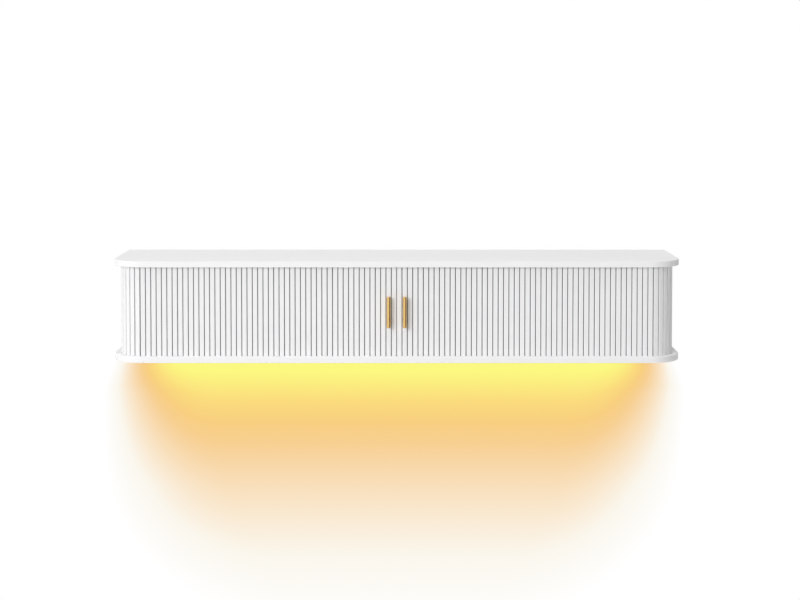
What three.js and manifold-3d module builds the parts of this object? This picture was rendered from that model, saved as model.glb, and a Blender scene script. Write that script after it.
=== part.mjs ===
// Wall-hung media console: two boards with rounded front corners hold a slatted tambour front between them.
// Each tambour door runs in grooves along the front, round the corner, down the side and behind a false back.
// Millimetres, +Z up, +X to the right. The front faces -Y and the wall is the plane y = 0.
// The origin is the middle of the wall rail's rear face.
import * as THREE from 'three';
import { mergeVertices } from 'three/addons/utils/BufferGeometryUtils.js';
import Module from 'manifold-3d';

const wasm = await Module();
wasm.setup();

// Overall size
const consoleWidth = 1800;
const consoleDepth = 350;
const consoleHeight = 320;
const boardThickness = 19;
const boardCornerRadius = 100;
const boardLip = 20;

// Fits shared by all the pieces
const seatGap = 0.3;
const runningGap = 3;
const cutOverrun = 1;

// Tambour slats on their canvas
const slatPitch = 16.82;
const slatGap = 2.3;
const slatThickness = 5.4;
const slatEdge = 0.7;
const canvasThickness = 0.6;
const tailSlats = 2;
const grooveDepth = 7;
const grooveClearance = 0.8;
const tongueEndGap = 1;

// Lead rail at the meeting edge of each door
const leadPitches = 2;
const leadThickness = 14;
const leadGrooveDepth = 4.5;
const leadEndClearance = 1;
const meetingGap = 1.6;
const slatsLeftWhenOpen = 1;

// Bar handle
const handleLength = 98;
const handleDiameter = 13;
const handleChamfer = 0.8;
const handleFingerGap = 15;
const handlePostDiameter = 8;
const handlePostInset = 17;
const handleScrewDiameter = 4;
const handleScrewHeadDiameter = 8;
const handleScrewHeadDepth = 2.2;
const handleScrewInPost = 8;

// Panels inside
const uprightThickness = 18;
const dividerSetback = 8;
const falseBackThickness = 9;
const outerBackThickness = 8;
const housingDepth = 5;
const outerPocketGap = 4;
const cornerRelief = 9;
const sideFrontRelief = 4;

// Rear posts
const postWidth = 22;
const postTip = 3.4;
const postWallGap = 1;
const postCoveGap = 1.5;

// Door stops
const stopDepth = 28;
const stopHeight = 30;
const stopBelowBoard = 25;
const stopScrewSetback = 9;
const stopScrewDiameter = 3.5;
const stopScrewHeadDiameter = 7;
const stopScrewHeadDepth = 2;
const stopScrewInSide = 12;

// Hanging rails
const railThickness = 17.4;
const wallRailHeight = 50;
const railEndInset = 108;
const hangingRailLand = 36;
const railScrewDiameter = 4;
const railScrewHeadDiameter = 8;
const railScrewHeadDepth = 2.2;
const railScrewLength = 22;
const railScrewDrop = 18;
const railScrewPlaceShares = [-0.9, -0.3, 0.3, 0.9];
const wallHoleDiameter = 5.5;
const wallHoleSinkDiameter = 11;
const wallHoleSinkDepth = 3;
const wallHolePlaceShares = [-0.88, -0.32, 0.32, 0.88];

// Screws that hold the uprights on the lower board
const carcassScrewDiameter = 5;
const carcassScrewHeadDiameter = 10;
const carcassScrewHeadDepth = 3;
const carcassScrewLength = 50;
const carcassScrewInset = 50;

// Cable ways
const cableHoleDiameter = 50;
const cableHoleRise = 55;
const cableHoleOffset = 62;
const grommetWall = 3;
const grommetFlange = 4;
const grommetFlangeThickness = 2.5;
const notchWidth = 80;
const notchDepth = 15;

// Light strip under the lower board
const channelEndInset = 100;
const channelWidth = 17;
const channelDepth = 8;
const channelWall = 1.2;
const channelSetback = 27;
const stripWidth = 10;
const stripThickness = 1;
const stripEndGap = 4;
const diffuserThickness = 1.5;
const endCapLength = 3;
const inletLength = 22;
const inletSocketDiameter = 5.6;
const inletSocketDepth = 6;
const inletPinDiameter = 2;
const inletPinRecess = 0.5;

// Facets on round work
const cornerSegments = 14;
const barSegments = 28;
const postSegments = 24;
const screwSegments = 12;
const ringSegments = 32;

// Heights that follow
const railBevel = railThickness;
const bevelGap = seatGap * Math.SQRT2;
const railTop = wallRailHeight / 2 + railBevel;
const upperInside = railTop + bevelGap + hangingRailLand + seatGap;
const consoleTop = upperInside + boardThickness;
const consoleBottom = consoleTop - consoleHeight;
const lowerInside = consoleBottom + boardThickness;
const insideHeight = upperInside - lowerInside;
const middleHeight = (upperInside + lowerInside) / 2;
const handlePostReach = handleLength / 2 - handlePostInset;
const handlePostHeights = [middleHeight - handlePostReach, middleHeight + handlePostReach];
const cableHoleHeight = lowerInside + cableHoleRise;
const railScrewHeight = upperInside - seatGap - railScrewDrop;
const stopMiddle = upperInside - stopBelowBoard - stopHeight / 2;

// Distances from the wall that follow
const outerBackRear = railThickness + 2 * seatGap;
const outerBackFront = outerBackRear + outerBackThickness;
const tambourRear = outerBackFront + outerPocketGap;
const curtainThickness = slatThickness + canvasThickness;
const falseBackRear = tambourRear + curtainThickness + runningGap;
const falseBackFront = falseBackRear + falseBackThickness;
const tambourFront = consoleDepth - boardLip;
const tambourInside = tambourFront - curtainThickness;
const leadRear = tambourFront - leadThickness;
const uprightRear = falseBackFront + seatGap;
const carcassScrewRear = uprightRear + carcassScrewInset;
const channelFromWall = falseBackFront + channelSetback;
const dividerFront = leadRear - dividerSetback;
const carcassScrewFront = dividerFront - carcassScrewInset;
const stopFront = tambourInside - runningGap;
const stopScrewWay = stopFront - stopDepth + stopScrewSetback;

// Distances from the middle that follow
const tambourHalf = consoleWidth / 2 - boardLip;
const tambourRadius = boardCornerRadius - boardLip;
const straightHalf = tambourHalf - tambourRadius;
const insideRadius = tambourRadius - curtainThickness;
const rearCornerWay = tambourRear + tambourRadius;
const frontCornerWay = tambourFront - tambourRadius;
const falseBackReach = Math.sqrt(insideRadius ** 2 - (rearCornerWay - falseBackRear) ** 2);
const falseBackHalf = straightHalf + falseBackReach - cornerRelief;
const innerSideOuter = falseBackHalf;
const innerSideInner = innerSideOuter - uprightThickness;
const innerSideReach = Math.sqrt(insideRadius ** 2 - (innerSideOuter - straightHalf) ** 2);
const innerSideFront = frontCornerWay + innerSideReach - sideFrontRelief;
const postInner = tambourHalf - postWidth;
const railLength = 2 * (postInner - railEndInset);
const channelLength = consoleWidth - 2 * channelEndInset;
const innerSidePlace = innerSideInner + uprightThickness / 2;
const dividerPlace = innerSidePlace / 2;

// The doors' pitch line lies in the canvas, and slats are counted along it from the middle of the front
const pitchInset = slatThickness + canvasThickness / 2;
const pitchRadius = tambourRadius - pitchInset;
const slatWidth = slatPitch - slatGap;
const tongueLength = grooveDepth - tongueEndGap;
const slatHeight = insideHeight + 2 * tongueLength;
const frontPathEnd = straightHalf;
const cornerPathEnd = frontPathEnd + pitchRadius * Math.PI / 2;
const sidePathEnd = cornerPathEnd + frontCornerWay - rearCornerWay;
const frontPitches = Math.floor(frontPathEnd / slatPitch);
const cornerPitches = Math.round(cornerPathEnd / slatPitch);
const sidePitches = Math.floor(sidePathEnd / slatPitch) + tailSlats;
const leadInnerEdge = meetingGap / 2;
const leadOuterEdge = leadPitches * slatPitch - slatGap / 2;
const doorTravel = (frontPitches - leadPitches - slatsLeftWhenOpen) * slatPitch;
const stopFace = leadOuterEdge + doorTravel + seatGap;
const stopWidth = innerSideInner - seatGap - stopFace;

// Handle places that follow
const handlePlace = (leadPitches - 0.5) * slatPitch;
const handleRadius = handleDiameter / 2;
const handleAxis = tambourFront + handleFingerGap + handleRadius;

// Finishes
const finishes = {
  lacquer: { color: 0xf4f4f3, roughness: 0.45, metalness: 0 },
  slat: { color: 0xf7f7f6, roughness: 0.5, metalness: 0 },
  brass: { color: 0xcfa157, roughness: 0.3, metalness: 1 },
  steel: { color: 0xb4b6b8, roughness: 0.4, metalness: 1 },
  plywood: { color: 0xd8bd92, roughness: 0.7, metalness: 0 },
  aluminium: { color: 0xc9cbcd, roughness: 0.45, metalness: 1 },
  plastic: { color: 0xefefed, roughness: 0.6, metalness: 0 },
  diffuser: { color: 0xffe2a0, roughness: 0.5, metalness: 0, emissive: 0xffb84d },
  circuit: { color: 0xf3eede, roughness: 0.5, metalness: 0 },
};

// Turns a closed three.js geometry into a solid that can be cut and joined
function solidFrom(geometry) {
  geometry.deleteAttribute('normal');
  geometry.deleteAttribute('uv');
  const welded = mergeVertices(geometry);
  const corners = welded.index.array;
  const triVerts = [];
  for (let i = 0; i < corners.length; i += 3) {
    const [a, b, c] = [corners[i], corners[i + 1], corners[i + 2]];
    if (a !== b && b !== c && c !== a) triVerts.push(a, b, c);
  }
  const mesh = new wasm.Mesh({
    numProp: 3,
    vertProperties: Float32Array.from(welded.attributes.position.array),
    triVerts: Uint32Array.from(triVerts),
  });
  return new wasm.Manifold(mesh);
}

// Makes a named mesh of a solid, with its own material, at its place in the console
function piece(name, finish, solid, x = 0, y = 0, z = 0) {
  const { vertProperties, triVerts } = solid.getMesh();
  const geometry = new THREE.BufferGeometry();
  geometry.setAttribute('position', new THREE.BufferAttribute(Float32Array.from(vertProperties), 3));
  geometry.setIndex(new THREE.BufferAttribute(Uint32Array.from(triVerts), 1));
  geometry.computeVertexNormals();
  const mesh = new THREE.Mesh(geometry, new THREE.MeshStandardMaterial(finishes[finish]));
  mesh.name = name;
  mesh.position.set(x, y, z);
  return mesh;
}

// A rectangular block between two corners
function block(x0, x1, y0, y1, z0, z1) {
  const geometry = new THREE.BoxGeometry(x1 - x0, y1 - y0, z1 - z0);
  geometry.translate((x0 + x1) / 2, (y0 + y1) / 2, (z0 + z1) / 2);
  return solidFrom(geometry);
}

// A plan outline raised from z = 0
function raised(shape, height) {
  return solidFrom(new THREE.ExtrudeGeometry(shape, {
    depth: height,
    bevelEnabled: false,
    curveSegments: cornerSegments,
  }));
}

// A section drawn in Y and Z, run along X about the middle
function runAlongX(section, length) {
  const shape = new THREE.Shape(section.map(([y, z]) => new THREE.Vector2(y, z)));
  const geometry = new THREE.ExtrudeGeometry(shape, { depth: length, bevelEnabled: false });
  geometry.translate(0, 0, -length / 2);
  const xAxis = new THREE.Vector3(1, 0, 0);
  const yAxis = new THREE.Vector3(0, 1, 0);
  const zAxis = new THREE.Vector3(0, 0, 1);
  geometry.applyMatrix4(new THREE.Matrix4().makeBasis(yAxis, zAxis, xAxis));
  return solidFrom(geometry);
}

// A turned piece, from a profile of radius and distance along the given direction
function turned(profile, direction, segments) {
  const points = profile.map(([radius, along]) => new THREE.Vector2(radius, along));
  const geometry = new THREE.LatheGeometry(points, segments);
  const turn = new THREE.Quaternion().setFromUnitVectors(new THREE.Vector3(0, 1, 0), direction);
  geometry.applyQuaternion(turn);
  return solidFrom(geometry);
}

const alongX = new THREE.Vector3(1, 0, 0);
const alongY = new THREE.Vector3(0, 1, 0);
const alongZ = new THREE.Vector3(0, 0, 1);

// The closed profile of a plain cylinder
function rodProfile(radius, start, end) {
  return [[0, start], [radius, start], [radius, end], [0, end]];
}

// A countersunk screw with its head's top at zero and its tip at -length, grown by a gap for its hole
function screwProfile(diameter, headDiameter, headDepth, length, gap, rise) {
  const radius = diameter / 2 + gap;
  const headRadius = headDiameter / 2 + gap;
  const profile = [[0, -length - gap], [radius, -length - gap], [radius, -headDepth], [headRadius, 0]];
  if (rise > 0) profile.push([headRadius, rise]);
  return [...profile, [0, rise]];
}

// A screw is turned with its head toward the given direction
function screw(sizes, direction) {
  return turned(screwProfile(...sizes, 0, 0), direction, screwSegments);
}

// The hole that such a screw sits in
function screwHole(sizes, direction) {
  return turned(screwProfile(...sizes, seatGap, cutOverrun), direction, screwSegments);
}

const carcassScrewSizes = [
  carcassScrewDiameter,
  carcassScrewHeadDiameter,
  carcassScrewHeadDepth,
  carcassScrewLength,
];
const handleScrewLength = leadThickness + handleScrewInPost;
const handleScrewSizes = [
  handleScrewDiameter,
  handleScrewHeadDiameter,
  handleScrewHeadDepth,
  handleScrewLength,
];
const railScrewSizes = [railScrewDiameter, railScrewHeadDiameter, railScrewHeadDepth, railScrewLength];
const stopScrewSizes = [
  stopScrewDiameter,
  stopScrewHeadDiameter,
  stopScrewHeadDepth,
  stopWidth + stopScrewInSide,
];

// Every upright's place from the middle, and every carcass screw's place under it
const uprightPlaces = [-innerSidePlace, -dividerPlace, 0, dividerPlace, innerSidePlace];
const carcassScrewPlaces = [];
for (const x of uprightPlaces) {
  carcassScrewPlaces.push([x, -carcassScrewRear], [x, -carcassScrewFront]);
}
const cableHolePlaces = [-cableHoleOffset, cableHoleOffset];

// Plan of both boards: square at the wall, round at the front corners
function boardShape() {
  const half = consoleWidth / 2;
  const radius = boardCornerRadius;
  const cornerY = radius - consoleDepth;
  const shape = new THREE.Shape();
  shape.moveTo(half, 0);
  shape.lineTo(-half, 0);
  shape.lineTo(-half, cornerY);
  shape.absarc(radius - half, cornerY, radius, Math.PI, Math.PI * 1.5, false);
  shape.absarc(half - radius, cornerY, radius, Math.PI * 1.5, Math.PI * 2, false);
  return shape;
}

// A rounded rectangle round the tambour's path, at an offset from the slats' outer faces
function pathLoop(Kind, offset) {
  const half = tambourHalf + offset;
  const radius = tambourRadius + offset;
  const front = -frontCornerWay;
  const rear = -rearCornerWay;
  const corners = [
    [radius - half, front, Math.PI],
    [half - radius, front, Math.PI * 1.5],
    [half - radius, rear, 0],
    [radius - half, rear, Math.PI / 2],
  ];
  const loop = new Kind();
  for (const [x, y, start] of corners) {
    loop.absarc(x, y, radius, start, start + Math.PI / 2, false);
  }
  return loop;
}

// The groove that both doors run in, a closed loop of constant width
function grooveSolid() {
  const ring = pathLoop(THREE.Shape, grooveClearance);
  ring.holes.push(pathLoop(THREE.Path, -curtainThickness - grooveClearance));
  return raised(ring, grooveDepth + cutOverrun);
}

// The housings that take the edges of both back panels
function housingSolid() {
  const rise = housingDepth + seatGap + cutOverrun;
  const outer = block(
    -postInner, postInner, -outerBackFront - seatGap, -outerBackRear + seatGap, 0, rise,
  );
  const half = falseBackHalf + seatGap;
  return outer.add(block(-half, half, -falseBackFront - seatGap, -falseBackRear + seatGap, 0, rise));
}

// Upper board, from its underside, with the groove and housings cut upward
function topBoard() {
  const cuts = grooveSolid().add(housingSolid()).translate([0, 0, -cutOverrun]);
  const board = raised(boardShape(), boardThickness).subtract(cuts);
  return piece('top_board', 'lacquer', board, 0, 0, upperInside);
}

// Lower board, with the groove, housings, screw holes, cable notch and the recess for the light channel
function bottomBoard() {
  let board = raised(boardShape(), boardThickness);
  board = board.subtract(grooveSolid().translate([0, 0, boardThickness - grooveDepth]));
  board = board.subtract(housingSolid().translate([0, 0, boardThickness - housingDepth - seatGap]));
  for (const [x, y] of carcassScrewPlaces) {
    board = board.subtract(screwHole(carcassScrewSizes, alongZ.clone().negate()).translate([x, y, 0]));
  }
  const notchHalf = notchWidth / 2;
  board = board.subtract(
    block(-notchHalf, notchHalf, -notchDepth, cutOverrun, -cutOverrun, boardThickness + cutOverrun),
  );
  const recessHalf = channelWidth / 2 + seatGap;
  board = board.subtract(block(
    -channelLength / 2 - 2 * seatGap - endCapLength,
    channelLength / 2 + 2 * seatGap + inletLength,
    -channelFromWall - recessHalf,
    -channelFromWall + recessHalf,
    -cutOverrun,
    channelDepth + seatGap,
  ));
  return piece('bottom_board', 'lacquer', board, 0, 0, consoleBottom);
}

// A back panel between the boards, housed in both, with the two cable holes
function backPanel(name, half, rear, front, screwed) {
  const low = lowerInside - housingDepth;
  let panel = block(-half, half, -front, -rear, low, upperInside + housingDepth);
  for (const x of cableHolePlaces) {
    const profile = rodProfile(cableHoleDiameter / 2, -front - cutOverrun, cutOverrun - rear);
    panel = panel.subtract(turned(profile, alongY, ringSegments).translate([x, 0, cableHoleHeight]));
  }
  if (screwed) {
    for (const share of railScrewPlaceShares) {
      const hole = screwHole(railScrewSizes, alongY.clone().negate());
      panel = panel.subtract(hole.translate([share * railLength / 2, -front, railScrewHeight]));
    }
  }
  return piece(name, 'lacquer', panel.translate([0, 0, -low]), 0, 0, low);
}

// An upright between the boards, with the pilot holes of its two screws, and of a door stop's on its side
function upright(name, place, front, stopSide) {
  const half = uprightThickness / 2;
  const height = insideHeight - 2 * seatGap;
  let panel = block(-half, half, -front, -uprightRear, 0, height);
  for (const y of [-carcassScrewRear, -carcassScrewFront]) {
    const hole = screwHole(carcassScrewSizes, alongZ.clone().negate());
    panel = panel.subtract(hole.translate([0, y, -boardThickness - seatGap]));
  }
  if (stopSide !== 0) {
    const hole = screwHole(stopScrewSizes, alongX.clone().multiplyScalar(stopSide));
    const reach = stopSide * (half + seatGap + stopWidth);
    const rise = stopMiddle - lowerInside - seatGap;
    panel = panel.subtract(hole.translate([reach, -stopScrewWay, rise]));
  }
  return piece(name, 'lacquer', panel, place, 0, lowerInside + seatGap);
}

// A rear post, coved inside so that the tambour turns past it
function rearPost(name, side) {
  const coveRadius = tambourRadius + postCoveGap;
  const coveStart = Math.acos((postInner + seatGap - straightHalf) / coveRadius);
  const coveEnd = Math.acos((tambourRadius - postTip) / coveRadius);
  const postDepth = rearCornerWay - coveRadius * Math.sin(coveEnd);
  const inside = postInner + seatGap;
  const points = [[tambourHalf, -postDepth], [tambourHalf, -postWallGap], [inside, -postWallGap]];
  for (let i = 0; i <= cornerSegments; i += 1) {
    const angle = coveStart + (coveEnd - coveStart) * i / cornerSegments;
    const x = straightHalf + coveRadius * Math.cos(angle);
    points.push([x, coveRadius * Math.sin(angle) - rearCornerWay]);
  }
  const shape = new THREE.Shape(points.map(([x, y]) => new THREE.Vector2(side * (x - tambourHalf), y)));
  const post = raised(shape, insideHeight - 2 * seatGap);
  return piece(name, 'lacquer', post, side * tambourHalf, 0, lowerInside + seatGap);
}

// A place on the doors' path: the point on the pitch line, and how far its face has turned from the front
function pathPlace(along) {
  if (along <= frontPathEnd) {
    return { x: along, y: pitchInset - tambourFront, turn: 0 };
  }
  if (along <= cornerPathEnd) {
    const turn = (along - frontPathEnd) / pitchRadius;
    return {
      x: straightHalf + pitchRadius * Math.sin(turn),
      y: -frontCornerWay - pitchRadius * Math.cos(turn),
      turn,
    };
  }
  if (along <= sidePathEnd) {
    return { x: tambourHalf - pitchInset, y: along - cornerPathEnd - frontCornerWay, turn: Math.PI / 2 };
  }
  const turn = Math.PI / 2 + (along - sidePathEnd) / pitchRadius;
  return {
    x: straightHalf + pitchRadius * Math.sin(turn),
    y: -rearCornerWay - pitchRadius * Math.cos(turn),
    turn,
  };
}

// A stretch of tambour: slats from one count to the next, glued to one canvas that reaches past both ends
function curtain(name, side, firstSlat, endSlat, startReach) {
  const halfSlat = slatWidth / 2;
  const halfCanvas = canvasThickness / 2;
  const face = halfCanvas + slatThickness;
  const endReach = (slatGap - seatGap) / 2;
  const outer = [];
  const inner = [];
  for (let slat = firstSlat; slat < endSlat; slat += 1) {
    const { x, y, turn } = pathPlace((slat + 0.5) * slatPitch);
    const at = (along, out) => new THREE.Vector2(
      side * (x + along * Math.cos(turn) + out * Math.sin(turn)),
      y + along * Math.sin(turn) - out * Math.cos(turn),
    );
    if (slat === firstSlat) {
      outer.push(at(-halfSlat - startReach, halfCanvas));
      inner.push(at(-halfSlat - startReach, -halfCanvas));
    }
    outer.push(
      at(-halfSlat, halfCanvas),
      at(-halfSlat, face - slatEdge),
      at(slatEdge - halfSlat, face),
      at(halfSlat - slatEdge, face),
      at(halfSlat, face - slatEdge),
      at(halfSlat, halfCanvas),
    );
    inner.push(at(-halfSlat, -halfCanvas), at(halfSlat, -halfCanvas));
    if (slat === endSlat - 1) {
      outer.push(at(halfSlat + endReach, halfCanvas));
      inner.push(at(halfSlat + endReach, -halfCanvas));
    }
  }
  const shape = new THREE.Shape([...outer, ...inner.reverse()]);
  return piece(name, 'slat', raised(shape, slatHeight), 0, 0, lowerInside - tongueLength);
}

// A lead rail: two slats wide in front, thicker behind, with tongues that run in the grooves
function leadRail(name, side) {
  const rear = leadThickness;
  const edge = slatEdge;
  const seam = leadPitches * slatPitch / 2;
  const halfGap = slatGap / 2;
  const section = [
    [leadInnerEdge, curtainThickness],
    [leadInnerEdge, edge],
    [leadInnerEdge + edge, 0],
    [seam - halfGap - edge, 0],
    [seam - halfGap, edge],
    [seam - halfGap, leadGrooveDepth],
    [seam + halfGap, leadGrooveDepth],
    [seam + halfGap, edge],
    [seam + halfGap + edge, 0],
    [leadOuterEdge - edge, 0],
    [leadOuterEdge, edge],
    [leadOuterEdge, curtainThickness],
  ];
  const shape = new THREE.Shape(section.map(([x, y]) => new THREE.Vector2(side * x, y)));
  const across = [side * leadInnerEdge, side * leadOuterEdge].sort((a, b) => a - b);
  const bodyLow = tongueLength + leadEndClearance;
  let rail = raised(shape, slatHeight);
  rail = rail.add(block(...across, slatThickness, rear, bodyLow, slatHeight - bodyLow));
  for (const z of handlePostHeights) {
    const hole = screwHole(handleScrewSizes, alongY);
    rail = rail.subtract(hole.translate([side * handlePlace, rear, z - lowerInside + tongueLength]));
  }
  return piece(name, 'slat', rail, 0, -tambourFront, lowerInside - tongueLength);
}

// The handle's bar, with chamfered ends
function handleBar(name, side) {
  const half = handleLength / 2;
  const profile = [
    [0, -half],
    [handleRadius - handleChamfer, -half],
    [handleRadius, handleChamfer - half],
    [handleRadius, half - handleChamfer],
    [handleRadius - handleChamfer, half],
    [0, half],
  ];
  const bar = turned(profile, alongZ, barSegments);
  return piece(name, 'brass', bar, side * handlePlace, -handleAxis, middleHeight);
}

// A handle post, saddled to the bar in front and tapped for its screw behind
function handlePost(name, side, height) {
  const profile = rodProfile(handlePostDiameter / 2, -handleFingerGap - handleRadius, -seatGap);
  const half = handleLength / 2;
  const bar = turned(rodProfile(handleRadius + seatGap, -half, half), alongZ, barSegments);
  const hole = screwHole(handleScrewSizes, alongY).translate([0, leadThickness, 0]);
  let post = turned(profile, alongY, postSegments);
  post = post.subtract(bar.translate([0, tambourFront - handleAxis, 0])).subtract(hole);
  return piece(name, 'brass', post, side * handlePlace, -tambourFront, height);
}

// A handle screw, put in from behind the lead rail
function handleScrew(name, side, height) {
  return piece(name, 'steel', screw(handleScrewSizes, alongY), side * handlePlace, -leadRear, height);
}

// Everything that slides with one door's lead rail
function doorFront(side, word) {
  const group = new THREE.Group();
  const [lower, upper] = handlePostHeights;
  group.add(
    leadRail(`${word}_lead_rail`, side),
    handleBar(`${word}_handle_bar`, side),
    handlePost(`${word}_handle_post_upper`, side, upper),
    handlePost(`${word}_handle_post_lower`, side, lower),
    handleScrew(`${word}_handle_screw_upper`, side, upper),
    handleScrew(`${word}_handle_screw_lower`, side, lower),
  );
  return group;
}

// The three stretches of one door's slats: front, corner, and side with the tail that turns behind the post
function doorSlats(side, word) {
  const group = new THREE.Group();
  const join = (slatGap - seatGap) / 2;
  group.add(
    curtain(`${word}_front_slats`, side, leadPitches, frontPitches, slatGap - seatGap),
    curtain(`${word}_corner_slats`, side, frontPitches, cornerPitches, join),
    curtain(`${word}_side_slats`, side, cornerPitches, sidePitches, join),
  );
  return group;
}

// The stop that a lead rail meets when its door is open, and its screw into the inner side
function doorStop(side, word) {
  const group = new THREE.Group();
  const half = stopHeight / 2;
  const across = [0, -side * stopWidth].sort((a, b) => a - b);
  const headward = alongX.clone().multiplyScalar(-side);
  const hole = screwHole(stopScrewSizes, headward).translate([-side * stopWidth, -stopScrewWay, 0]);
  const stop = block(...across, -stopFront, stopDepth - stopFront, -half, half).subtract(hole);
  const fastener = screw(stopScrewSizes, headward);
  group.add(
    piece(`${word}_stop_block`, 'plywood', stop, side * (innerSideInner - seatGap), 0, stopMiddle),
    piece(`${word}_stop_screw`, 'steel', fastener, side * stopFace, -stopScrewWay, stopMiddle),
  );
  return group;
}

// The rail on the wall: its upper edge slopes down to the wall, and it is drilled for four wall screws
function wallRail() {
  const half = wallRailHeight / 2;
  const front = -railThickness;
  let rail = runAlongX([[0, -half], [0, half], [front, half + railBevel], [front, -half]], railLength);
  for (const share of wallHolePlaceShares) {
    const sizes = [wallHoleDiameter, wallHoleSinkDiameter, wallHoleSinkDepth, railThickness + cutOverrun];
    const hole = turned(screwProfile(...sizes, 0, cutOverrun), alongY.clone().negate(), screwSegments);
    rail = rail.subtract(hole.translate([share * railLength / 2, front, 0]));
  }
  return piece('wall_rail', 'plywood', rail);
}

// The rail on the console's back: its lower edge hooks over the wall rail
function hangingRail() {
  const rear = -seatGap;
  const front = -railThickness - seatGap;
  const foot = railTop + bevelGap + seatGap;
  const section = [
    [rear, foot - railBevel],
    [rear, upperInside - seatGap],
    [front, upperInside - seatGap],
    [front, foot],
  ];
  let rail = runAlongX(section, railLength);
  for (const share of railScrewPlaceShares) {
    const hole = screwHole(railScrewSizes, alongY.clone().negate());
    rail = rail.subtract(hole.translate([share * railLength / 2, -outerBackFront, railScrewHeight]));
  }
  return piece('hanging_rail', 'plywood', rail);
}

// The four screws through the outer back into the hanging rail
function hangingRailScrews() {
  return railScrewPlaceShares.map((share, i) => piece(
    `hanging_rail_screw_${i + 1}`,
    'steel',
    screw(railScrewSizes, alongY.clone().negate()),
    share * railLength / 2,
    -outerBackFront,
    railScrewHeight,
  ));
}

// The ten screws up through the lower board into the uprights
function carcassScrews() {
  return carcassScrewPlaces.map(([x, y], i) => piece(
    `carcass_screw_${i + 1}`,
    'steel',
    screw(carcassScrewSizes, alongZ.clone().negate()),
    x,
    y,
    consoleBottom,
  ));
}

// A flanged ring that lines a cable hole in the false back
function cableGrommet(name, place) {
  const outside = cableHoleDiameter / 2 - seatGap;
  const bore = cableHoleDiameter / 2 - grommetWall;
  const flange = cableHoleDiameter / 2 + grommetFlange;
  const faceAway = -grommetFlangeThickness - seatGap;
  const profile = [
    [bore, faceAway],
    [flange, faceAway],
    [flange, -seatGap],
    [outside, -seatGap],
    [outside, falseBackThickness],
    [bore, falseBackThickness],
    [bore, faceAway],
  ];
  const ring = turned(profile, alongY, ringSegments);
  return piece(name, 'plastic', ring, place, -falseBackFront, cableHoleHeight);
}

// The light under the lower board: channel, strip, diffuser, end cap and the socket block of its supply
function lighting() {
  const group = new THREE.Group();
  const half = channelWidth / 2;
  const inner = half - channelWall;
  const channelSection = [
    [-half, 0],
    [-inner, 0],
    [-inner, channelDepth - channelWall],
    [inner, channelDepth - channelWall],
    [inner, 0],
    [half, 0],
    [half, channelDepth],
    [-half, channelDepth],
  ];
  const end = channelLength / 2;
  const stripHalf = end - stripEndGap;
  const stripTop = channelDepth - channelWall - seatGap;
  const stripSide = stripWidth / 2;
  const strip = block(-stripHalf, stripHalf, -stripSide, stripSide, stripTop - stripThickness, stripTop);
  const cover = inner - seatGap;
  const diffuser = block(-end, end, -cover, cover, 0, diffuserThickness);
  const capStart = -end - seatGap;
  const inletStart = end + seatGap;
  const socketMiddle = inletStart + inletLength / 2;
  const downward = alongZ.clone().negate();
  const socketProfile = rodProfile(inletSocketDiameter / 2, -inletSocketDepth, cutOverrun);
  const socket = turned(socketProfile, downward, screwSegments);
  const pinProfile = rodProfile(inletPinDiameter / 2, -inletSocketDepth - cutOverrun, -inletPinRecess);
  const pin = turned(pinProfile, downward, screwSegments);
  const inlet = block(inletStart, inletStart + inletLength, -half, half, 0, channelDepth);
  const endCap = block(capStart - endCapLength, capStart, -half, half, 0, channelDepth);
  const socketCut = socket.subtract(pin).translate([socketMiddle, 0, 0]);
  const place = [0, -channelFromWall, consoleBottom];
  group.add(
    piece('led_channel', 'aluminium', runAlongX(channelSection, channelLength), ...place),
    piece('led_strip', 'circuit', strip, ...place),
    piece('led_diffuser', 'diffuser', diffuser, ...place),
    piece('led_end_cap', 'plastic', endCap, ...place),
    piece('led_inlet', 'plastic', inlet.subtract(socketCut), ...place),
  );
  return group;
}

// Boards, panels, posts and their screws
function carcass() {
  const group = new THREE.Group();
  group.add(
    topBoard(),
    bottomBoard(),
    backPanel('outer_back_panel', postInner - seatGap, outerBackRear, outerBackFront, true),
    backPanel('false_back_panel', falseBackHalf, falseBackRear, falseBackFront, false),
    upright('left_inner_side', -innerSidePlace, innerSideFront, 1),
    upright('left_divider', -dividerPlace, dividerFront, 0),
    upright('centre_divider', 0, dividerFront, 0),
    upright('right_divider', dividerPlace, dividerFront, 0),
    upright('right_inner_side', innerSidePlace, innerSideFront, -1),
    rearPost('left_rear_post', -1),
    rearPost('right_rear_post', 1),
    cableGrommet('left_cable_grommet', -cableHoleOffset),
    cableGrommet('right_cable_grommet', cableHoleOffset),
    ...carcassScrews(),
  );
  return group;
}

const mediaConsole = new THREE.Group();
mediaConsole.add(carcass(), lighting(), wallRail(), hangingRail(), ...hangingRailScrews());
for (const [side, word] of [[-1, 'left'], [1, 'right']]) {
  mediaConsole.add(doorFront(side, word), doorSlats(side, word), doorStop(side, word));
}

export default mediaConsole;
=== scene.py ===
import math

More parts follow.
